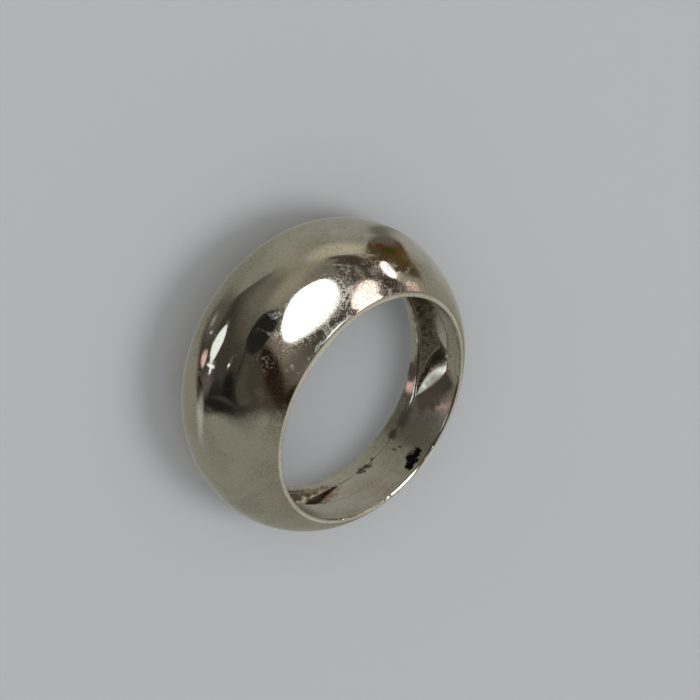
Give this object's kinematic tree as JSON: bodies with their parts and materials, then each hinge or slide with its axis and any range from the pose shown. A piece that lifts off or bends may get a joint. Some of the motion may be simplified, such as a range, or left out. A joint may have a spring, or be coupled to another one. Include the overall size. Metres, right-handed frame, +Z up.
{
  "type": "dome ring",
  "caption": "Finger ring whose band swells into a tall smooth dome, cast hollow under the dome, tapering to a plain narrow shank, in worn silver-tone plated metal.",
  "frame": {"origin": "centre of the bounding box at its base, on the surface that the ring lies on, below the finger hole and a little towards the dome", "axes": "+Z up, square to the lower rim that the ring lies on; +X from the shank towards the dome's apex"},
  "size_m": [0.0258, 0.023, 0.0072],
  "materials": {
    "tarnished_plate": "gloss"
  },
  "bodies": {
    "root": {"dome_ring": "tarnished_plate"}
  },
  "joints": []
}
